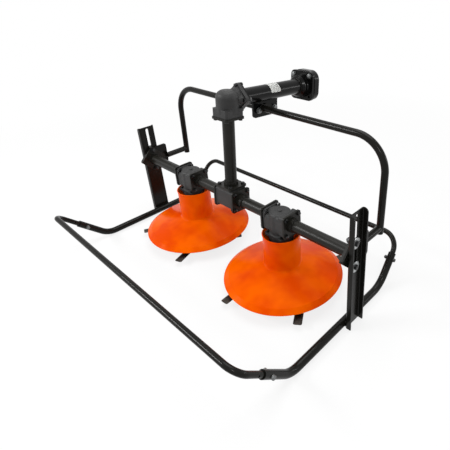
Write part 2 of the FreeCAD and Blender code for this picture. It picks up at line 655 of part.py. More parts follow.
def post():
    """Right channel post with its adjusting slot; the flanges point outboard."""
    w, d, t, r = POST_W / 2, POST_DEPTH, POST_T, POST_BEND
    section = [(0, -w, r), (d, -w, 0), (d, -w + t, 0), (t, -w + t, r - t + 0.5),
               (t, w - t, r - t + 0.5), (d, w - t, 0), (d, w, 0), (0, w, r)]
    body = plate(section, lambda u, v: V(POST_X + u, v, 0), Z * POST_H)
    side = [(0, 0, 0), (d, 0, 0), (d, POST_H, POST_TIP_ROUND), (0, POST_H, 0)]
    body = body.common(plate(side, lambda u, v: V(POST_X + u, -w - 1, v), Y * (2 * w + 2)))
    low = BEAM_HEIGHT - BOLT_HALF - (SLOT_W - BOLT_D) / 2
    high = POST_H - SLOT_MARGIN - SLOT_W / 2
    return body.cut(plate(obround(0, low, high, SLOT_W), lambda u, v: V(POST_X - 1, u, v), X * (t + 2)))


# ---------------------------------------------------------------- all nodes
def build():
    nodes = {
        "centre_gearbox": centre_gearbox(),
        "elbow_gearbox": elbow_gearbox(),
        "riser_tube": riser_tube(),
        "input_tube": input_tube(),
        "hitch_flange": hitch_flange(),
        "input_coupling": input_coupling(),
        "hoop_plate": hoop_plate(),
        "front_bar": front_bar(),
        "rear_bar": rear_bar(),
    }
    right_only = {
        "outer_tube": outer_tube(), "inner_tube": inner_tube(),
        "hoop": hoop(), "hoop_bracket": hoop_bracket(), "drum": drum(), "bowl": bowl(),
        "skid_tube": side_tube(), "post": post(),
    }
    for side, sign in SIDES:
        for name, shape in right_only.items():
            nodes[f"{side}_{name}"] = mirror(shape, sign)
        nodes[f"{side}_gearbox"] = drum_gearbox(sign)
        nodes[f"{side}_knife_carrier"] = carrier(sign)
        for k, (pivot, swing) in enumerate(knife_angles(sign), 1):
            nodes[f"{side}_knife_{k}"] = knife(sign, pivot, swing)
    return nodes


os.makedirs("parts", exist_ok=True)
for name, shape in build().items():
    shape.translate(SHIFT)
    shape.exportStep(f"parts/{name}.step")
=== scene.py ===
import json
import math

import bmesh
import bpy
from bpy.props import FloatProperty, FloatVectorProperty, PointerProperty
from mathutils import Matrix, Vector


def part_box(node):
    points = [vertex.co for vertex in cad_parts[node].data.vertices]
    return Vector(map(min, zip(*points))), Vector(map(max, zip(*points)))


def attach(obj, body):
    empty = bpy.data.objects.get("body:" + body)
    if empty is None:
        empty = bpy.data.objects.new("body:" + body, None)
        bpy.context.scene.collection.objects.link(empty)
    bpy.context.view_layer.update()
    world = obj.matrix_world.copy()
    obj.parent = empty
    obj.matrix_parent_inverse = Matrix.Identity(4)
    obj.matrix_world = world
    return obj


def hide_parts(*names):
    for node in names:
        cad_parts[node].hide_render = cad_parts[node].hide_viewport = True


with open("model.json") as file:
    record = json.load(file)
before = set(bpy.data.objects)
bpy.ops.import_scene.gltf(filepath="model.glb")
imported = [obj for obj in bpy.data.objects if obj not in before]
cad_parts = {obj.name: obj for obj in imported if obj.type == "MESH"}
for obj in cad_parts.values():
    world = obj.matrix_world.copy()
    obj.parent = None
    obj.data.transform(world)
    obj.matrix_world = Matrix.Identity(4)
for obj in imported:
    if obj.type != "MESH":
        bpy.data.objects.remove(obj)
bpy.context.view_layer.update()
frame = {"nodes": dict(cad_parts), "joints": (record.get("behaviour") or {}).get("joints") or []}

bl_info = {
    "name": "Rotary mower finishes",
    "version": (1, 1, 0),
    "blender": (4, 5, 0),
    "location": "View3D > Sidebar > Mower",
    "description": "Finishes, fasteners, welds and studio for a two-drum rotary mower",
    "category": "Object",
}

MM = 0.001
SIDES = (("left", -1), ("right", 1))

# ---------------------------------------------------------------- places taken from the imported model
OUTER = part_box("right_outer_tube")
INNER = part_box("right_inner_tube")
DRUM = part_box("right_drum")
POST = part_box("right_post")
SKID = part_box("right_skid_tube")
INPUT = next(joint for joint in frame["joints"] if joint["name"] == "input_spin")
BEAM = Vector((0, (OUTER[0].y + OUTER[1].y) / 2, (OUTER[0].z + OUTER[1].z) / 2))
GROUND = POST[0].z
LEVEL_UP = Vector((0, 0, 1))
ACROSS = Vector((1, 0, 0))
BACK = Vector(INPUT["axis"]).normalized()                   # along the input tube, to the tractor
UP = ACROSS.cross(BACK)                                     # along the riser
INPUT_AT = Vector(INPUT["pos_m"])
ELBOW = BEAM + UP * (INPUT_AT - BEAM).dot(UP)
DRUM_X = (DRUM[0].x + DRUM[1].x) / 2 / MM
GUARD_X = (SKID[0].x + SKID[1].x) / 2 / MM

# sizes of the joints that the fasteners and welds sit in, in mm
FLANGE_T = 7.0              # tube flanges
COLLAR_L = 20.0             # collar behind a tube flange
CENTRE_COLLAR_L = 30.0      # the longer collar beside the centre gearbox
BOLTS_AT = 31.0             # flange bolts off the tube axis, both ways
ARCH_BACK = 40.0            # rotor axis to the back of the arched port's flange
RISER_LOW = 45.0            # beam axis to the riser's flange joint
RISER_HIGH = 66.0           # input axis down to the underside of the riser's top flange
DIAMOND_BOLTS = 45.0        # off the input axis
DIAMOND_FRONT = 42.0        # riser axis to the front of the elbow's diamond flange
DIAMOND_BACK = 62.0         # and to the back of the input tube's flange
POST_BOLTS = 44.0           # above and below the beam axis
POST_T = 4.0                # web of the post's channel
POST_WELDS = (5.4, 21.5)    # above the ground, under and over the skid tube
POST_WELD_HALF = 34.0       # half the length of each
END_FLANGE_T = 8.0          # flange at the beam's end, which the post is clamped to
HOOP_BOLTS_BACK = (139.5, 222.5)    # from the riser axis, along the input tube
HOOP_BOLT_DROP = 61.0       # input axis down to them
HOOP_SEAT = 10.0            # hoop flange's outer face, from the middle
HOOP_AT = 158.3             # riser axis to the hoop bars, along the input tube
HOOP_DROP = 54.1            # input axis down to the hoop bars
HOOP_LEG_BACK = 174.6       # rotor axis back to the leg of the hoop at its stub
STUB_DROP = 1.5             # beam axis down to the stub
HOOP_PLATE = (119.0, 243.0)     # the plate under the input tube: its welds' ends, from the riser axis
HOOP_PLATE_WELDS = 5.2      # off the middle, both ways
HITCH_BOLTS = 42.0          # off the input axis, both ways
HITCH_FRONT = 391.0         # riser axis to the face under the hitch bolts' heads
NECK_START = 356.0          # riser axis to the hitch hub's neck
FOOT_SCREWS = 33.9          # bearing flange's screws off the rotor axis, both ways
FOOT_TOP = 49.0             # beam axis down to the bearing flange

# outer radii of the tubes, in mm
BEAM_TUBE_R = 21.2
RISER_TUBE_R = 22.25
INPUT_TUBE_R = 29.75
HOOP_R = 12.25
SKID_R = 13.45

# heights of standard fasteners, in mm
NUT_8, NUT_10 = 6.5, 8.0
HEAD_10 = 6.4
SCREW_FLATS, SCREW_HEAD = 10.0, 4.0

BEAD_STEP = 0.8             # mm between the points of a weld bead
SHARP_EDGE = math.radians(32)       # faces that meet at more than this keep a crisp edge


def by_beam(x, y, z):
    """A point in mm from the middle of the beam, in the machine's level directions."""
    return BEAM + Vector((x, y, z)) * MM


def by_head(x, back, up, start=ELBOW):
    """A point in mm from the elbow's centre, in the leaning head's own directions."""
    return start + (ACROSS * x + BACK * back + UP * up) * MM


# ---------------------------------------------------------------- colours and nodes
def srgb(text):
    """Linear (r, g, b, 1) of an sRGB hex colour."""
    channels = [int(text[i:i + 2], 16) / 255 for i in (1, 3, 5)]
    return tuple(c / 12.92 if c <= 0.04045 else ((c + 0.055) / 1.055) ** 2.4 for c in channels) + (1.0,)


def shade(colour, factor):
    """The colour made lighter or darker."""
    return tuple(min(1.0, c * factor) for c in colour[:3]) + (1.0,)


def add(tree, kind, settings=None, links=None):
    """A node of one kind, with its settings and socket values, fed by links."""
    node = tree.nodes.new(kind)
    for key, value in (settings or {}).items():
        if key == "ramp":
            for stop, (position, colour) in zip(node.color_ramp.elements, value):
                stop.position, stop.color = position, colour
        elif hasattr(node, key):
            setattr(node, key, value)
        else:
            node.inputs[key].default_value = value
    for key, source in (links or {}).items():
        tree.links.new(source, node.inputs[key])
    return node


def finish_tree(name, **sockets):
    """A new material's node tree, with its Principled shader and object coordinates."""
    material = bpy.data.materials.new(name)
    material.use_nodes = True
    tree = material.node_tree
    shader = tree.nodes["Principled BSDF"]
    for socket, value in sockets.items():
        shader.inputs[socket.replace("_", " ")].default_value = value
    place = add(tree, "ShaderNodeTexCoord").outputs["Object"]
    return material, tree, shader, place


def wire(tree, shader, **sources):
    """Links sources to the shader's sockets of the same names."""
    for socket, source in sources.items():
        tree.links.new(source, shader.inputs[socket.replace("_", " ")])


def per_metre(size_mm):
    """Texture scale that repeats once in size_mm."""
    return 1000.0 / size_mm


def sand_cast_paint(name, base):
    """Satin black paint over sand-cast iron.

    The eye gets a dull pebbled skin, with highlights only along the worn-round edges.
    """
    # The grain that moulding sand leaves is under 0.5 mm, too fine to show, so it is drawn 4.5 mm across.
    grain_mm, cloud_mm = 4.5, 40
    material, tree, shader, place = finish_tree(name, IOR=1.5, Specular_IOR_Level=0.3)
    grain = add(tree, "ShaderNodeTexNoise", {"Scale": per_metre(grain_mm), "Detail": 4.0}, {"Vector": place})
    cloud = add(tree, "ShaderNodeTexNoise", {"Scale": per_metre(cloud_mm), "Detail": 3.0}, {"Vector": place})
    tone = add(tree, "ShaderNodeValToRGB", {"ramp": ((0.3, shade(base, 0.75)), (0.75, shade(base, 1.25)))},
               {"Fac": cloud.outputs["Fac"]})
    rough = add(tree, "ShaderNodeMapRange", {"To Min": 0.44, "To Max": 0.62}, {"Value": grain.outputs["Fac"]})
    edge = add(tree, "ShaderNodeBevel", {"samples": 6, "Radius": 1.6 * MM})
    bump = add(tree, "ShaderNodeBump", {"Strength": 0.75, "Distance": 0.6 * MM},
               {"Height": grain.outputs["Fac"], "Normal": edge.outputs["Normal"]})
    wire(tree, shader, Base_Color=tone.outputs["Color"], Roughness=rough.outputs["Result"],
         Normal=bump.outputs["Normal"])
    return material


def powder_coat(name, thin, thick, cloud_mm, roughness, peel, peel_mm, level):
    """Sprayed coat on steel tube and plate.

    The eye gets long soft highlights, broken a little by the peel of the coat, and a tone that
    drifts with its thickness.
    """
    # Real peel is about 1 mm; at peel_mm it is drawn coarse enough to show.
    material, tree, shader, place = finish_tree(name, IOR=1.5, Specular_IOR_Level=level)
    peeled = add(tree, "ShaderNodeTexNoise", {"Scale": per_metre(peel_mm), "Detail": 1.5}, {"Vector": place})
    cloud = add(tree, "ShaderNodeTexNoise", {"Scale": per_metre(cloud_mm), "Detail": 3.0}, {"Vector": place})
    tone = add(tree, "ShaderNodeValToRGB", {"ramp": ((0.36, thin), (0.64, thick))},
               {"Fac": cloud.outputs["Fac"]})
    rough = add(tree, "ShaderNodeMapRange", {"To Min": roughness - 0.04, "To Max": roughness + 0.06},
                {"Value": cloud.outputs["Fac"]})
    bump = add(tree, "ShaderNodeBump", {"Strength": peel, "Distance": 0.12 * MM},
               {"Height": peeled.outputs["Fac"]})
    wire(tree, shader, Base_Color=tone.outputs["Color"], Roughness=rough.outputs["Result"],
         Normal=bump.outputs["Normal"])
    return material


def drum_coat(name, thin, thick):
    """Gloss orange powder coat on a pressed skirt.

    The eye gets a deep orange with broad lighter patches of painted reflection, and slow waves of
    the sheet that bend the light.
    """
    # Real peel is about 1 mm; it is drawn 5 mm across so that it shows.
    reflection_patch_mm, wave_mm, peel_mm = 95, 70, 5
    material, tree, shader, place = finish_tree(
        name, IOR=1.5, Specular_IOR_Level=0.06, Specular_Tint=srgb("#ffa050"))
    # painted reflection: the tone drifts at random from the darker orange to lighter patches that stand in
    # for reflected warm surroundings
    cloud = add(tree, "ShaderNodeTexNoise", {"Scale": per_metre(reflection_patch_mm), "Detail": 2.0}, {"Vector": place})
    tone = add(tree, "ShaderNodeValToRGB", {"ramp": ((0.38, thin), (0.62, thick))},
               {"Fac": cloud.outputs["Fac"]})
    rough = add(tree, "ShaderNodeMapRange", {"To Min": 0.17, "To Max": 0.24}, {"Value": cloud.outputs["Fac"]})
    wave = add(tree, "ShaderNodeTexNoise", {"Scale": per_metre(wave_mm), "Detail": 1.0}, {"Vector": place})
    peeled = add(tree, "ShaderNodeTexNoise", {"Scale": per_metre(peel_mm), "Detail": 1.5}, {"Vector": place})
    sheet = add(tree, "ShaderNodeBump", {"Strength": 0.35, "Distance": 0.8 * MM},
                {"Height": wave.outputs["Fac"]})
    bump = add(tree, "ShaderNodeBump", {"Strength": 0.15, "Distance": 0.12 * MM},
               {"Height": peeled.outputs["Fac"], "Normal": sheet.outputs["Normal"]})
    wire(tree, shader, Base_Color=tone.outputs["Color"], Roughness=rough.outputs["Result"],
         Normal=bump.outputs["Normal"])
    return material


def bare_metal(name, base, roughness, marks_mm, dull=0.7):
    """Bare or plated steel: the eye gets metal with small dull marks and a slightly uneven tone."""
    # Scale, rolling and tool marks are finer than this on the real steel; marks_mm is what shows.
    material, tree, shader, place = finish_tree(name, Metallic=1.0)
    marks = add(tree, "ShaderNodeTexNoise", {"Scale": per_metre(marks_mm), "Detail": 4.0}, {"Vector": place})
    tone = add(tree, "ShaderNodeValToRGB", {"ramp": ((0.3, shade(base, dull)), (0.75, base))},
               {"Fac": marks.outputs["Fac"]})
    rough = add(tree, "ShaderNodeMapRange", {"To Min": roughness - 0.07, "To Max": roughness + 0.1},
                {"Value": marks.outputs["Fac"]})
    wire(tree, shader, Base_Color=tone.outputs["Color"], Roughness=rough.outputs["Result"])
    return material


def label_film(name, base):
    """Matt white vinyl film: the eye gets a soft sheen and faint handling marks."""
    marks_mm = 9
    material, tree, shader, place = finish_tree(name, IOR=1.46)
    marks = add(tree, "ShaderNodeTexNoise", {"Scale": per_metre(marks_mm), "Detail": 4.0}, {"Vector": place})
    tone = add(tree, "ShaderNodeValToRGB", {"ramp": ((0.35, shade(base, 0.98)), (0.7, base))},
               {"Fac": marks.outputs["Fac"]})
    rough = add(tree, "ShaderNodeMapRange", {"To Min": 0.42, "To Max": 0.48}, {"Value": marks.outputs["Fac"]})
    wire(tree, shader, Base_Color=tone.outputs["Color"], Roughness=rough.outputs["Result"])
    return material


# ---------------------------------------------------------------- what a user would change
class MowerColours(bpy.types.PropertyGroup):
    """Colours of the paints and plating"""
    casting: FloatVectorProperty(
        name="Casting paint", description="Satin paint on the gearbox castings",
        subtype="COLOR", size=4, min=0, max=1, default=srgb("#2c2c2c"))
    coat: FloatVectorProperty(
        name="Black coat", description="Powder coat on tubes, posts, hoops and guard",
        subtype="COLOR", size=4, min=0, max=1, default=srgb("#141310"))
    # drum colours: the darker orange, and the lighter one of the painted reflection patches laid over it at
    # random
    drums: FloatVectorProperty(
        name="Drum coat", description="Powder coat on the two drums, where it is thin",
        subtype="COLOR", size=4, min=0, max=1, default=srgb("#dd4600"))
    drums_painted_reflection: FloatVectorProperty(
        name="Drum coat, thick", description="The same coat where it is thick",
        subtype="COLOR", size=4, min=0, max=1, default=srgb("#ef5f00"))
    zinc: FloatVectorProperty(
        name="Zinc plate", description="Plating on bolts, nuts and washers",
        subtype="COLOR", size=4, min=0, max=1, default=srgb("#b9bcbc"))


class MowerFasteners(bpy.types.PropertyGroup):
    """Sizes of the bolts, washers and welds"""
    flange_flats: FloatProperty(
        name="Flange bolt flats", description="Across the flats of the gearbox flange bolts and guard bolts",
        default=13 * MM, min=0.005, max=0.03, unit="LENGTH")
    flange_head: FloatProperty(
        name="Flange bolt head", description="Height of the heads of the same bolts",
        default=5.3 * MM, min=0.002, max=0.02, unit="LENGTH")
    heavy_flats: FloatProperty(
        name="Post bolt flats", description="Across the flats of the bolts that clamp the posts",
        default=17 * MM, min=0.01, max=0.04, unit="LENGTH")
    post_washer: FloatProperty(
        name="Post washer", description="Diameter of the large washers over the posts' slots",
        default=38 * MM, min=0.02, max=0.06, unit="LENGTH")
    hitch_flats: FloatProperty(
        name="Hitch bolt flats", description="Across the flats of the hitch and hoop bolts",
        default=17 * MM, min=0.01, max=0.03, unit="LENGTH")
    weld: FloatProperty(
        name="Weld bead", description="Radius of the weld beads",
        default=2.4 * MM, min=0.001, max=0.006, unit="LENGTH")


class MowerStudio(bpy.types.PropertyGroup):
    """The camera's lens and angles"""
    lens: FloatProperty(
        name="Lens", description="Focal length on a 36 mm wide sensor",
        default=32.70, min=10, max=200, unit="CAMERA")
    azimuth: FloatProperty(
        name="Azimuth", description="How far the camera is turned, seen from above, from facing the front",
        default=math.radians(42.2302), subtype="ANGLE", unit="ROTATION")
    elevation: FloatProperty(
        name="Elevation", description="How steeply the camera looks down",
        default=math.radians(27.4157), subtype="ANGLE", unit="ROTATION")
    roll: FloatProperty(
        name="Roll", description="Camera's roll about its own axis",
        default=math.radians(-1.6734), subtype="ANGLE", unit="ROTATION")


GROUPS = (("mower_colours", MowerColours), ("mower_fasteners", MowerFasteners),
          ("mower_studio", MowerStudio))


def paint(nodes, material):
    """Gives CAD nodes their finish."""
    for name in nodes:
        mesh = frame["nodes"][name].data
        mesh.materials.clear()
        mesh.materials.append(material)


def sides(*names):
    """The left and right nodes of each name."""
    return [f"{side}_{name}" for side, _ in SIDES for name in names]


# ---------------------------------------------------------------- meshes
def seat(place, direction, turn=0.0):
    """Turns a shape drawn in mm, standing on its seat along +Z, to its place and direction."""
    lie = direction.to_track_quat("Z", "Y").to_matrix().to_4x4()
    return Matrix.Translation(place) @ lie @ Matrix.Rotation(turn, 4, "Z") @ Matrix.Scale(MM, 4)


def skin(mesh, loops):
    """Quads between loops of points, closed at both ends."""
    loops = [[mesh.verts.new(point) for point in loop] for loop in loops]
    for low, high in zip(loops, loops[1:]):
        for i in range(len(low)):
            j = (i + 1) % len(low)
            mesh.faces.new((low[i], low[j], high[j], high[i]))
    mesh.faces.new(list(reversed(loops[0])))
    mesh.faces.new(loops[-1])


def around(count):
    """Angles once round a circle."""
    return [2 * math.pi * i / count for i in range(count)]


def turned(mesh, place, profile, count=32):
    """A turned shape from (radius, height) pairs."""
    loops = []
    for radius, height in profile:
        loops.append([place @ Vector((radius * math.cos(a), radius * math.sin(a), height))
                      for a in around(count)])
    skin(mesh, loops)


def lathe(mesh, place, profile, count):
    """A hollow turned shape: the closed profile swept once round."""
    rows = []
    for a in around(count):
        rows.append([mesh.verts.new(place @ Vector((radius * math.cos(a), radius * math.sin(a), height)))
                     for radius, height in profile])
    for i in range(count):
        here, there = rows[i - 1], rows[i]
        for k in range(len(profile)):
            mesh.faces.new((here[k - 1], here[k], there[k], there[k - 1]))


def rounded(corners, radii):
    """A profile through corners (radius, height), with an arc of each radius at each inner corner."""
    steps = 8
    points = [corners[0]]
    for before, corner, after, radius in zip(corners, corners[1:], corners[2:], radii):
        middle = Vector(corner)
        one, two = (Vector(before) - middle).normalized(), (Vector(after) - middle).normalized()
        half = one.angle(two) / 2
        reach = radius / math.tan(half)
        centre = middle + (one + two).normalized() * radius / math.sin(half)
        start, end = middle + one * reach - centre, middle + two * reach - centre
        for k in range(steps + 1):
            point = centre + (start.lerp(end, k / steps)).normalized() * radius
            points.append((point.x, point.y))
    points.append(corners[-1])
    return points


def hexagon(mesh, place, flats, height, base=0.0):
    """A hexagon head or nut whose corners a 30 degree cone cuts off."""
    round_top = 0.475 * flats                               # radius of the flat that the cone leaves
    half_side, cone = math.radians(30), math.tan(math.radians(30))
    foot, edge, top = [], [], []
    for a in around(48):
        radius = flats / 2 / math.cos(a % (2 * half_side) - half_side)
        cut = (radius - round_top) * cone
        foot.append(place @ Vector((radius * math.cos(a), radius * math.sin(a), base)))
        edge.append(place @ Vector((radius * math.cos(a), radius * math.sin(a), base + height - cut)))
        top.append(place @ Vector((round_top * math.cos(a), round_top * math.sin(a), base + height)))
    skin(mesh, [foot, edge, top])


def washer(mesh, place, diameter, thick):
    """A plain washer with its upper edge broken."""
    radius, edge = diameter / 2, (0.4, 0.3)
    turned(mesh, place, [(radius, 0), (radius, thick - edge[1]), (radius - edge[0], thick)])


def thread_end(mesh, place, diameter, start, length):
    """The bolt's threaded end standing out of its nut."""
    pitch = {8: 1.25, 10: 1.5}[diameter]
    radius, depth = diameter / 2, 0.55
    crest, root = 0.4 * pitch, 0.75 * pitch                 # where each turn of the thread has them
    point, shoulder = 1.0, (0.2, 0.6)                       # the turned-down tip, and its upper edge
    end = start + length
    profile = [(radius, start)]
    for k in range(int((length - point) / pitch)):
        low = start + k * pitch
        profile += [(radius, low + crest), (radius - depth, low + root)]
    profile += [(radius - shoulder[0], end - shoulder[1]), (radius - point, end)]
    turned(mesh, place, profile, count=20)


def head_on(mesh, place, flats, height, wide, thick):
    """A bolt's head or a nut on its washer."""
    washer(mesh, place, wide, thick)
    hexagon(mesh, place, flats, height, base=thick)


def bead(mesh, points, reference, radius, closed=True):
    """A weld bead along points in metres: a rope with the ripples of its overlapping pools."""
    ripple, swell = 2.6 * MM, 0.1                           # a pool's length, and how far it stands out
    tail = 0.6                                              # an open bead narrows to this at its ends
    sides_round = 8
    count = len(points)
    loops = []
    length = 0.0
    for i, point in enumerate(points):
        if closed:
            before, after = points[i - 1], points[(i + 1) % count]
        else:
            before, after = points[max(i - 1, 0)], points[min(i + 1, count - 1)]
        along = (after - before).normalized()
        side = along.cross(reference).normalized()
        rise = side.cross(along)
        if i:
            length += (point - points[i - 1]).length
        size = radius * (1 + swell * math.cos(2 * math.pi * length / ripple))
        if not closed and i in (0, count - 1):
            size *= tail
        loops.append([point + (side * math.cos(a) + rise * math.sin(a)) * size for a in around(sides_round)])
    if not closed:
        skin(mesh, loops)
        return
    loops = [[mesh.verts.new(point) for point in loop] for loop in loops]
    for i in range(count):
        low, high = loops[i - 1], loops[i]
        for k in range(sides_round):
            mesh.faces.new((low[k - 1], low[k], high[k], high[k - 1]))


def ring(centre, axis, radius_mm):
    """Points of a circle, BEAD_STEP apart."""
    side = axis.orthogonal().normalized()
    other = axis.cross(side)
    count = int(2 * math.pi * radius_mm / BEAD_STEP)
    return [centre + (side * math.cos(a) + other * math.sin(a)) * radius_mm * MM for a in around(count)]


def line(start, end):
    """Points of a straight run, BEAD_STEP apart."""
    count = int((end - start).length / MM / BEAD_STEP)
    return [start.lerp(end, i / count) for i in range(count + 1)]


def put(name, mesh, material, body):
    """The finished piece, on its body, in one of the finishes made by the Finishes step."""
    bmesh.ops.recalc_face_normals(mesh, faces=mesh.faces)
    data = bpy.data.meshes.new(name)
    mesh.to_mesh(data)
    mesh.free()
    for face in data.polygons:
        face.use_smooth = True
    data.set_sharp_from_angle(angle=SHARP_EDGE)
    data.materials.append(bpy.data.materials[material])
    piece = bpy.data.objects.new(name, data)
    bpy.context.scene.collection.objects.link(piece)
    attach(piece, body)
    return piece


def four(reach):
    """The corners of a square bolt pattern."""
    return [(u, v) for u in (-reach, reach) for v in (-reach, reach)]


def spin(index):
    """Where a bolt's hexagon stops turning: each at its own angle."""
    return math.radians(17 * index % 60)


# ---------------------------------------------------------------- operators
class MOWER_OT_finishes(bpy.types.Operator):
    """Give every part of the mower its real finish"""
    bl_idname = "mower.finishes"
    bl_label = "Finishes"

    def execute(self, context):
        colours = context.scene.mower_colours
        coat, zinc = tuple(colours.coat), tuple(colours.zinc)
        cast = sand_cast_paint("sand_cast_satin_black", tuple(colours.casting))
        # drums: deep orange with broad lighter patches of painted reflection
        orange = drum_coat("gloss_orange_powder_coat", tuple(colours.drums), tuple(colours.drums_painted_reflection))
        # guard, hoops and posts: near black, with one narrow soft highlight along each run
        black = powder_coat("satin_black_powder_coat", shade(coat, 0.9), shade(coat, 1.1), cloud_mm=80,
                            roughness=0.22, peel=0.2, peel_mm=3.5, level=0.13)
        # beam and riser tubes: brushed-on paint, greyer and duller than the powder coat
        satin = powder_coat("satin_black_paint", shade(coat, 1.3), shade(coat, 1.7), cloud_mm=60,
                            roughness=0.34, peel=0.3, peel_mm=3.0, level=0.18)
        # input tube and hitch: the deepest black, which mirrors the surroundings most sharply
        deep = powder_coat("gloss_black_powder_coat", srgb("#090909"), srgb("#0e0e0e"), cloud_mm=80,
                           roughness=0.2, peel=0.2, peel_mm=4.0, level=0.14)
        # painted bolts: small bright points on black
        powder_coat("gloss_black_enamel", srgb("#0c0c0c"), srgb("#141414"), cloud_mm=20,
                    roughness=0.25, peel=0.1, peel_mm=2.0, level=0.35)
        # knives: dark mill scale, almost without shine
        knife_steel = bare_metal("rolled_spring_steel", srgb("#4a4540"), roughness=0.5, marks_mm=6.0)
        # drive coupling: clean cut metal
        turned_steel = bare_metal("turned_steel", srgb("#9a9894"), roughness=0.35, marks_mm=2.0)
        # post washers: bright discs on the black posts
        bare_metal("zinc_plated_steel", zinc, roughness=0.33, marks_mm=4.0, dull=0.78)
        # hoop, hitch and guard bolts: the same plate gone grey and patchy
        bare_metal("weathered_zinc_plate", shade(zinc, 0.45), roughness=0.45, marks_mm=3.0, dull=0.55)
        label_film("matt_white_vinyl", srgb("#f3f4f1"))
        paint(["centre_gearbox", "elbow_gearbox"] + sides("gearbox"), cast)
        paint(["riser_tube"] + sides("outer_tube", "inner_tube"), satin)
        paint(["input_tube", "hitch_flange", "hoop_plate"], deep)
        paint(["front_bar", "rear_bar"]
              + sides("hoop", "hoop_bracket", "post", "skid_tube", "knife_carrier", "bowl"), black)
        paint(sides("drum"), orange)
        paint(sides("knife_1", "knife_2", "knife_3", "knife_4"), knife_steel)
        paint(["input_coupling"], turned_steel)
        return {"FINISHED"}


class MOWER_OT_drums(bpy.types.Operator):
    """Press the two drums: rolled mouth, filleted neck, flared skirt and turned-down rim"""
    bl_idname = "mower.drums"
    bl_label = "Drums"

    def execute(self, context):
        # radii of the wall and the rim, heights above the ground of the mouth, neck and rim's edge,
        # and (radius, height) of the crease above the rim band
        wall, rim, sheet = 67.5, 220.0, 3.0
        top, base, edge = 224.0, 99.0, 45.0
        crease = (201.5, 57.5)
        lip, lip_in = 2.2, 0.2                              # radius of the rolled mouth, and its set inward
        roll, steps = 225.0, 10                             # degrees it turns, from inside over to outside
        outer = []
        for k in range(steps + 1):
            a = math.radians(180.0 - roll * k / steps)
            outer.append((wall - lip_in + lip * math.cos(a), top - lip + lip * math.sin(a)))
        outer += rounded([(wall, top - 2 * lip), (wall, base), crease, (rim, edge)], (10.0, 6.0))
        outer += [(rim - 0.6, edge - 1.4), (rim - 1.6, edge - 1.8)]         # the rim's edge, rounded under
        inner = rounded([(rim - 2.6, edge - 1.2), (crease[0] - 1.0, crease[1] - sheet),
                         (wall - sheet, base - sheet), (wall - sheet, top - 2 * lip)], (11.0, 13.0))
        for side, sign in SIDES:
            mesh = bmesh.new()
            foot = Vector((sign * DRUM_X * MM, BEAM.y, GROUND))
            lathe(mesh, seat(foot, LEVEL_UP), outer + inner, count=144)
            piece = put(f"{side}_drum_pressing", mesh, "gloss_orange_powder_coat", f"{side}_rotor")
            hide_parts(f"{side}_drum")
        return {"FINISHED"}


class MOWER_OT_flange_bolts(bpy.types.Operator):
    """Bolt the tubes to the three gearboxes on the beam and to the elbow"""
    bl_idname = "mower.flange_bolts"
    bl_label = "Flange bolts"

    def execute(self, context):
        sizes = context.scene.mower_fasteners
        flats, head = sizes.flange_flats / MM, sizes.flange_head / MM

        def bolts(name, places, direction):
            mesh = bmesh.new()
            for i, place in enumerate(places):
                lie = seat(place, direction, spin(i))
                head_on(mesh, lie, flats, head, wide=flats * 1.15, thick=1.6)
            put(name, mesh, "gloss_black_enamel", "frame")

        square = four(BOLTS_AT)
        for side, sign in SIDES:
            out = ACROSS * sign
            outer = sign * (OUTER[0].x / MM + FLANGE_T)
            inner = sign * (INNER[1].x / MM - FLANGE_T)
            centre = sign * (INNER[0].x / MM + FLANGE_T)
            bolts(f"{side}_outer_flange_bolts", [by_beam(outer, u, v) for u, v in square], out)
            bolts(f"{side}_inner_flange_bolts", [by_beam(inner, u, v) for u, v in square], -out)
            bolts(f"{side}_centre_flange_bolts", [by_head(centre, u, v, BEAM) for u, v in square], out)
            mesh = bmesh.new()
            for i, u in enumerate((-BOLTS_AT, BOLTS_AT)):
                place = by_beam(sign * DRUM_X - ARCH_BACK, u, BOLTS_AT)
                lie = seat(place, ACROSS, spin(i + 2))
                hexagon(mesh, lie, flats, NUT_8)
                thread_end(mesh, lie, 8, start=NUT_8, length=3.0)
            put(f"{side}_arched_port_nuts", mesh, "gloss_black_enamel", "frame")
            mesh = bmesh.new()
            for i, (u, v) in enumerate(four(FOOT_SCREWS)):
                lie = seat(by_beam(sign * DRUM_X + u, v, -FOOT_TOP), LEVEL_UP, spin(i))
                hexagon(mesh, lie, SCREW_FLATS, SCREW_HEAD)
            put(f"{side}_bearing_flange_screws", mesh, "gloss_black_enamel", "frame")
        bolts("riser_foot_bolts", [by_head(u, v, RISER_LOW + FLANGE_T, BEAM) for u, v in square], UP)
        bolts("riser_top_bolts", [by_head(u, v, -RISER_HIGH) for u, v in square], -UP)
        corners = [(DIAMOND_BOLTS, 0), (0, DIAMOND_BOLTS), (-DIAMOND_BOLTS, 0), (0, -DIAMOND_BOLTS)]
        bolts("diamond_flange_bolts", [by_head(u, DIAMOND_FRONT, v) for u, v in corners], -BACK)
        mesh = bmesh.new()
        for i, (u, v) in enumerate(corners):
            lie = seat(by_head(u, DIAMOND_BACK, v), BACK, spin(i + 1))
            hexagon(mesh, lie, flats, NUT_8)
            thread_end(mesh, lie, 8, start=NUT_8, length=3.0)
        put("diamond_flange_nuts", mesh, "gloss_black_enamel", "frame")
        return {"FINISHED"}


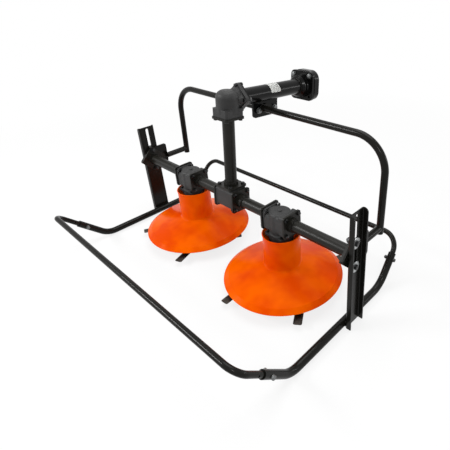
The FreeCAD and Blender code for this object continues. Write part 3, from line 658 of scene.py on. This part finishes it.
class MOWER_OT_post_bolts(bpy.types.Operator):
    """Clamp each post to the end of the beam with two bolts and large washers"""
    bl_idname = "mower.post_bolts"
    bl_label = "Post bolts"

    def execute(self, context):
        sizes = context.scene.mower_fasteners
        flats, wide = sizes.heavy_flats / MM, sizes.post_washer / MM
        head, thick, hole, inner_thick = 6.6, 2.6, 7.5, 2.5
        broken = 0.6                                        # edge of the large washer
        for side, sign in SIDES:
            out = ACROSS * sign
            web = POST[0].x / MM + POST_T
            end = OUTER[1].x / MM - END_FLANGE_T
            bolts, washers = bmesh.new(), bmesh.new()
            for i, v in enumerate((-POST_BOLTS, POST_BOLTS)):
                lie = seat(by_beam(sign * web, 0, v), out, spin(i + 1))
                turned(washers, lie, [(wide / 2, 0), (wide / 2, thick - broken), (wide / 2 - broken, thick),
                                      (hole, thick)])
                hexagon(bolts, lie, flats, head, base=thick)
                lie = seat(by_beam(sign * end, 0, v), -out, spin(i + 3))
                head_on(bolts, lie, flats, NUT_10, wide=flats * 1.25, thick=inner_thick)
                thread_end(bolts, lie, 10, start=inner_thick + NUT_10, length=4.0)
            put(f"{side}_post_bolts", bolts, "gloss_black_enamel", "frame")
            put(f"{side}_post_washers", washers, "zinc_plated_steel", "frame")
        return {"FINISHED"}


class MOWER_OT_hoop_bolts(bpy.types.Operator):
    """Bolt both hoops through the plate under the input tube"""
    bl_idname = "mower.hoop_bolts"
    bl_label = "Hoop bolts"

    def execute(self, context):
        flats = context.scene.mower_fasteners.hitch_flats / MM
        wide, thick = flats * 1.35, 2.0
        mesh = bmesh.new()
        for i, back in enumerate(HOOP_BOLTS_BACK):
            lie = seat(by_head(HOOP_SEAT, back, -HOOP_BOLT_DROP), ACROSS, spin(i + 2))
            head_on(mesh, lie, flats, HEAD_10, wide, thick)
            lie = seat(by_head(-HOOP_SEAT, back, -HOOP_BOLT_DROP), -ACROSS, spin(i))
            head_on(mesh, lie, flats, NUT_10, wide, thick)
            thread_end(mesh, lie, 10, start=thick + NUT_10, length=4.0)
        put("hoop_bolts", mesh, "weathered_zinc_plate", "frame")
        return {"FINISHED"}


class MOWER_OT_hitch_bolts(bpy.types.Operator):
    """Set three bolts in the hitch flange; the fourth hole is left open"""
    bl_idname = "mower.hitch_bolts"
    bl_label = "Hitch bolts"

    def execute(self, context):
        flats = context.scene.mower_fasteners.hitch_flats / MM
        mesh = bmesh.new()
        corners = ((-1, 1), (1, 1), (-1, -1))
        for i, (u, v) in enumerate(corners):
            lie = seat(by_head(u * HITCH_BOLTS, HITCH_FRONT, v * HITCH_BOLTS), -BACK, spin(i))
            head_on(mesh, lie, flats, HEAD_10, wide=flats * 1.18, thick=1.8)
        put("hitch_bolts", mesh, "weathered_zinc_plate", "frame")
        return {"FINISHED"}


class MOWER_OT_guard_bolts(bpy.types.Operator):
    """Pin each bar in the skid tubes' sockets with a cross bolt and nut"""
    bl_idname = "mower.guard_bolts"
    bl_label = "Guard bolts"

    def execute(self, context):
        sizes = context.scene.mower_fasteners
        flats, head = sizes.flange_flats / MM, sizes.flange_head / MM
        wide, thick = 15.0, 2.0
        off = (SKID_R - 1.0) * MM                           # the washers bed 1 mm into the round tube
        # each socket's bolt: which end, back from the rotor axis, above the ground, finish, slot
        spots = (("front", -363.3, 90.7, "weathered_zinc_plate", "coupling_steel"),
                 ("rear", 256.4, 98.5, "gloss_black_enamel", "black_paint"))
        for side, sign in SIDES:
            out = ACROSS * sign
            for end, back, high, finish, slot in spots:
                mesh = bmesh.new()
                middle = Vector((sign * GUARD_X * MM, BEAM.y + back * MM, GROUND + high * MM))
                head_on(mesh, seat(middle + out * off, out, turn=0.3), flats, head, wide, thick)
                lie = seat(middle - out * off, -out, turn=0.7)
                head_on(mesh, lie, flats, NUT_8, wide, thick)
                thread_end(mesh, lie, 8, start=thick + NUT_8, length=2.5)
                put(f"{side}_{end}_guard_bolt", mesh, finish, "guard")
        return {"FINISHED"}


class MOWER_OT_welds(bpy.types.Operator):
    """Lay the weld beads that hold flanges, posts and stubs to their tubes"""
    bl_idname = "mower.welds"
    bl_label = "Weld beads"

    def execute(self, context):
        size = context.scene.mower_fasteners.weld
        grow = size / MM * 0.3                              # the bead's middle off the tube's skin
        coat = "satin_black_powder_coat"
        for side, sign in SIDES:
            mesh = bmesh.new()
            outer = OUTER[0].x / MM
            inner = INNER[1].x / MM
            for x in (outer + COLLAR_L, OUTER[1].x / MM - END_FLANGE_T,
                      INNER[0].x / MM + CENTRE_COLLAR_L, inner - COLLAR_L):
                bead(mesh, ring(by_beam(sign * x, 0, 0), ACROSS, BEAM_TUBE_R + grow), ACROSS, size)
            put(f"{side}_beam_welds", mesh, coat, "frame")
            self.hoop_welds(side, sign, size, coat)
            mesh = bmesh.new()
            face = sign * (POST[0].x - size / 2)            # the bead's middle, off the post's skin
            for high in POST_WELDS:
                ends = [Vector((face, BEAM.y + end * MM, GROUND + high * MM))
                        for end in (-POST_WELD_HALF, POST_WELD_HALF)]
                bead(mesh, line(*ends), LEVEL_UP, size, closed=False)
            put(f"{side}_post_welds", mesh, coat, "guard")
        mesh = bmesh.new()
        for up, start in ((RISER_LOW + COLLAR_L, BEAM), (-RISER_HIGH, ELBOW)):
            bead(mesh, ring(by_head(0, 0, up, start), UP, RISER_TUBE_R + grow), UP, size)
        for back in (DIAMOND_BACK, NECK_START):
            bead(mesh, ring(by_head(0, back, 0), BACK, INPUT_TUBE_R + grow), BACK, size)
        for x in (-HOOP_PLATE_WELDS, HOOP_PLATE_WELDS):
            ends = [by_head(x, back, -INPUT_TUBE_R) for back in HOOP_PLATE]
            bead(mesh, line(*ends), UP, size, closed=False)
        put("head_welds", mesh, coat, "frame")
        return {"FINISHED"}

    def hoop_welds(self, side, sign, size, coat):
        """Round the hoop bar at its flange, and the saddle where the stub meets the leg."""
        flange_bead, stub_bead = size * 0.8, size * 0.75    # both thinner than the beam's
        flange_off, stub_off = 0.5, 0.4                     # their middles off the bar's skin, in mm
        low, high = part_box(f"{side}_hoop")
        mesh = bmesh.new()
        bar = by_head(sign * HOOP_SEAT, HOOP_AT, -HOOP_DROP)
        bead(mesh, ring(bar, ACROSS, HOOP_R + flange_off), ACROSS, flange_bead)
        reach = high.x if sign > 0 else low.x
        middle = Vector((reach - sign * HOOP_R * MM, BEAM.y + HOOP_LEG_BACK * MM, BEAM.z - STUB_DROP * MM))
        radius = (HOOP_R + stub_off) * MM
        saddle = [middle + radius * Vector((math.cos(a), -abs(math.sin(a)), math.sin(a))) for a in around(96)]
        bead(mesh, saddle, Vector((0, 1, 0)), stub_bead)
        put(f"{side}_hoop_welds", mesh, coat, "frame")


class MOWER_OT_label(bpy.types.Operator):
    """Lay the blank white film over the top of the input tube"""
    bl_idname = "mower.label"
    bl_label = "Blank label"

    def execute(self, context):
        start, end = 187.0, 237.0                           # from the riser axis, along the tube
        first, last = 3.0, 177.0                            # degrees round it
        rows, steps = 12, 40
        stand_off, film = 0.25, 0.2                         # off the tube's skin, and asked of solidify
        radius = INPUT_TUBE_R + stand_off
        mesh = bmesh.new()
        grid = []
        for k in range(rows + 1):
            back = start + (end - start) * k / rows
            row = []
            for i in range(steps + 1):
                a = math.radians(first + (last - first) * i / steps)
                row.append(mesh.verts.new(by_head(radius * math.cos(a), back, radius * math.sin(a))))
            grid.append(row)
        for low, high in zip(grid, grid[1:]):
            for i in range(steps):
                mesh.faces.new((low[i], low[i + 1], high[i + 1], high[i]))
        # The new faces have no normals yet, so the second layer lies on the first, not film away from it.
        bmesh.ops.solidify(mesh, geom=mesh.faces[:], thickness=film * MM)
        put("blank_label", mesh, "matt_white_vinyl", "frame")
        return {"FINISHED"}


# lamps: name, place from the ground under the middle of the beam, width and height, watts
LAMPS = (
    ("key", (-2.2, -2.6, 2.4), (1.6, 0.55), 88),
    ("window", (2.0, -1.45, 2.05), (0.3, 0.4), 14),
    ("rear_strip", (2.2, 2.3, 0.9), (1.6, 0.3), 12),
    ("top", (0.0, 0.6, 3.2), (2.4, 2.4), 60),
)
# from the same point on the ground: where the lamps aim, and where the camera stands
LAMPS_AIM = Vector((0, 0, 0.25))
CAMERA_AT = Vector((1.1173, -0.8378, 1.0481))
CAMERA_SHIFT = (-0.1667, -0.1)


class MOWER_OT_studio(bpy.types.Operator):
    """Lay the floor, set the lamps and place the camera"""
    bl_idname = "mower.studio"
    bl_label = "Studio"

    def execute(self, context):
        scene = context.scene
        studio = scene.mower_studio
        scene.view_settings.view_transform = "Standard"
        lay_floor()
        light_world(scene)
        middle = Vector((0, BEAM.y, GROUND))
        for name, place, size, watts in LAMPS:
            lamp = bpy.data.lights.new(name, "AREA")
            lamp.shape = "RECTANGLE"
            lamp.size, lamp.size_y, lamp.energy = *size, watts
            holder = bpy.data.objects.new(name, lamp)
            scene.collection.objects.link(holder)
            holder.location = middle + Vector(place)
            aim = middle + LAMPS_AIM - holder.location
            holder.rotation_mode = "QUATERNION"
            holder.rotation_quaternion = aim.to_track_quat("-Z", "Y")
            holder.visible_camera = False
        camera = bpy.data.cameras.new("camera")
        camera.sensor_width = 36.0
        camera.lens = studio.lens
        camera.shift_x, camera.shift_y = CAMERA_SHIFT
        holder = bpy.data.objects.new("camera", camera)
        scene.collection.objects.link(holder)
        holder.matrix_world = camera_place(studio, middle)
        scene.camera = holder
        return {"FINISHED"}


def camera_place(studio, middle):
    """The camera's matrix, from its angles."""
    az, el, roll = studio.azimuth, studio.elevation, studio.roll
    back = Vector((math.sin(az) * math.cos(el), -math.cos(az) * math.cos(el), math.sin(el)))
    level = (-back).cross(LEVEL_UP).normalized()
    rise = level.cross(-back)
    right = level * math.cos(roll) + rise * math.sin(roll)
    up = rise * math.cos(roll) - level * math.sin(roll)
    axes = Matrix((right, up, back)).transposed().to_4x4()
    return Matrix.Translation(middle + CAMERA_AT) @ axes


def background_rays(tree):
    """1 for the rays that see the plain white background: camera, mirror and glass rays."""
    ray = add(tree, "ShaderNodeLightPath")
    seen = ray.outputs["Is Camera Ray"]
    for other in ("Is Glossy Ray", "Is Transmission Ray"):
        either = add(tree, "ShaderNodeMath", {"operation": "MAXIMUM"}, {0: seen, 1: ray.outputs[other]})
        seen = either.outputs[0]
    return seen


def lay_floor():
    """A white floor that keeps the mower's shadow and fades into the white background."""
    half, drop = 6.0, 0.5 * MM
    fade_from, fade_to = 1.0, 2.6
    mesh = bpy.data.meshes.new("floor")
    corners = [(-half, -half, 0), (half, -half, 0), (half, half, 0), (-half, half, 0)]
    mesh.from_pydata(corners, [], [(0, 1, 2, 3)])
    floor = bpy.data.objects.new("floor", mesh)
    floor.location.z = GROUND - drop
    bpy.context.scene.collection.objects.link(floor)
    material = bpy.data.materials.new("matt_white_floor")
    material.use_nodes = True
    tree = material.node_tree
    tree.nodes.clear()
    place = add(tree, "ShaderNodeTexCoord").outputs["Object"]
    away = add(tree, "ShaderNodeVectorMath", {"operation": "LENGTH"}, {0: place})
    share = add(tree, "ShaderNodeMapRange",
                {"From Min": fade_from, "From Max": fade_to, "To Min": 0.8, "To Max": 1.0},
                {"Value": away.outputs["Value"]})
    seen = add(tree, "ShaderNodeMath", {"operation": "MULTIPLY"},
               {0: background_rays(tree), 1: share.outputs["Result"]})
    matt = add(tree, "ShaderNodeBsdfDiffuse", {"Color": srgb("#f2f2f2")})
    glow = add(tree, "ShaderNodeEmission", {"Color": (1, 1, 1, 1), "Strength": 1.0})
    mix = add(tree, "ShaderNodeMixShader", links={0: seen.outputs[0], 1: matt.outputs[0], 2: glow.outputs[0]})
    add(tree, "ShaderNodeOutputMaterial", links={"Surface": mix.outputs[0]})
    mesh.materials.append(material)


def light_world(scene):
    """Soft white light all round, in front of a plain white background."""
    world = bpy.data.worlds.new("studio")
    world.use_nodes = True
    scene.world = world
    tree = world.node_tree
    tree.nodes.clear()
    plain = add(tree, "ShaderNodeBackground", {"Color": srgb("#ffffff"), "Strength": 0.35})
    white = add(tree, "ShaderNodeBackground", {"Color": srgb("#ffffff"), "Strength": 1.0})
    mix = add(tree, "ShaderNodeMixShader",
              links={0: background_rays(tree), 1: plain.outputs[0], 2: white.outputs[0]})
    add(tree, "ShaderNodeOutputWorld", links={"Surface": mix.outputs[0]})


class MOWER_PT_panel(bpy.types.Panel):
    """Sizes, colours and steps of the mower"""
    bl_idname = "MOWER_PT_panel"
    bl_label = "Rotary mower"
    bl_space_type = "VIEW_3D"
    bl_region_type = "UI"
    bl_category = "Mower"

    def draw(self, context):
        for name, group in GROUPS:
            for prop in group.__annotations__:
                self.layout.prop(getattr(context.scene, name), prop)
        for step in STEPS:
            self.layout.operator(step.bl_idname)


STEPS = (MOWER_OT_finishes, MOWER_OT_drums, MOWER_OT_flange_bolts, MOWER_OT_post_bolts, MOWER_OT_hoop_bolts,
         MOWER_OT_hitch_bolts, MOWER_OT_guard_bolts, MOWER_OT_welds, MOWER_OT_label, MOWER_OT_studio)
CLASSES = (MowerColours, MowerFasteners, MowerStudio, *STEPS, MOWER_PT_panel)


def register():
    for kind in CLASSES:
        bpy.utils.register_class(kind)
    for name, group in GROUPS:
        setattr(bpy.types.Scene, name, PointerProperty(type=group))


def unregister():
    for name, _ in GROUPS:
        delattr(bpy.types.Scene, name)
    for kind in reversed(CLASSES):
        bpy.utils.unregister_class(kind)


def main():
    register()
    bpy.ops.mower.finishes()
    bpy.ops.mower.drums()
    bpy.ops.mower.flange_bolts()
    bpy.ops.mower.post_bolts()
    bpy.ops.mower.hoop_bolts()
    bpy.ops.mower.hitch_bolts()
    bpy.ops.mower.guard_bolts()
    bpy.ops.mower.welds()
    bpy.ops.mower.label()
    bpy.ops.mower.studio()


if __name__ == "__main__":
    main()
